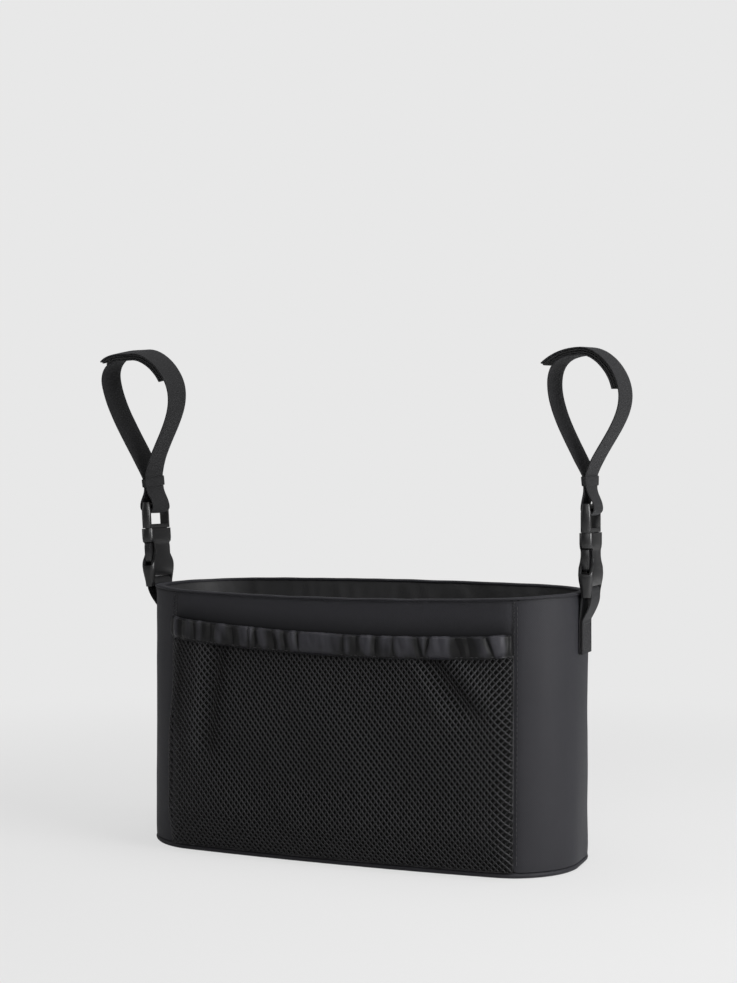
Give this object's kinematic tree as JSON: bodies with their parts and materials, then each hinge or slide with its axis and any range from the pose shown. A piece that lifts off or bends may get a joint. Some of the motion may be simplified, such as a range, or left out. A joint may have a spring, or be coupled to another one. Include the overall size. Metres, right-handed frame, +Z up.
{
  "type": "stroller organizer",
  "caption": "Soft padded organizer caddy with an open top, a gathered net front pocket and buckled hook-and-loop straps that hang it from a stroller's handlebar.",
  "frame": {"origin": "middle of the base's underside, on the surface that it stands on", "axes": "+X to the right along the body seen from the front, -Y out of the front with the net pocket, +Z up"},
  "size_m": [0.3928, 0.1338, 0.3572],
  "materials": {
    "shell_cloth": "coated woven cloth, matt with a soft sheen",
    "lining_cloth": "thin woven lining",
    "foam": "closed-cell foam",
    "board": "stiff plastic sheet",
    "net": "knitted net with staggered cells",
    "hem_cloth": "light woven cloth, gathered",
    "elastic": "woven elastic tape",
    "webbing": "ribbed webbing",
    "hook_and_pile": "hook-and-pile tape",
    "buckle_plastic": "satin moulded plastic"
  },
  "bodies": {
    "bag": {"front_panel": "shell_cloth", "back_panel": "shell_cloth", "left_end_panel": "shell_cloth", "right_end_panel": "shell_cloth", "base_panel": "shell_cloth", "base_piping": "shell_cloth", "rim_binding": "shell_cloth", "front_padding": "foam", "back_padding": "foam", "left_end_padding": "foam", "right_end_padding": "foam", "base_board": "board", "lining_wall": "lining_cloth", "lining_floor": "lining_cloth", "mesh_pocket": "net", "pocket_hem": "hem_cloth", "pocket_elastic": "elastic", "left_anchor_tab": "webbing", "right_anchor_tab": "webbing", "left_buckle_socket": "buckle_plastic", "right_buckle_socket": "buckle_plastic"},
    "left_plug": {"left_buckle_plug": "buckle_plastic", "left_handle_strap": "webbing", "left_strap_keeper": "webbing", "left_hook_tape": "hook_and_pile", "left_pile_tape": "hook_and_pile"},
    "right_plug": {"right_buckle_plug": "buckle_plastic", "right_handle_strap": "webbing", "right_strap_keeper": "webbing", "right_hook_tape": "hook_and_pile", "right_pile_tape": "hook_and_pile"}
  },
  "joints": [
    {"name": "left_buckle_release", "type": "slide", "parent": "bag", "child": "left_plug", "axis": [-0.061, 0, 0.9981], "range_m": [0, 0.03], "deforming": ["left_buckle_plug"]},
    {"name": "right_buckle_release", "type": "slide", "parent": "bag", "child": "right_plug", "axis": [0, 0, 1], "range_m": [0, 0.03], "deforming": ["right_buckle_plug"]}
  ]
}
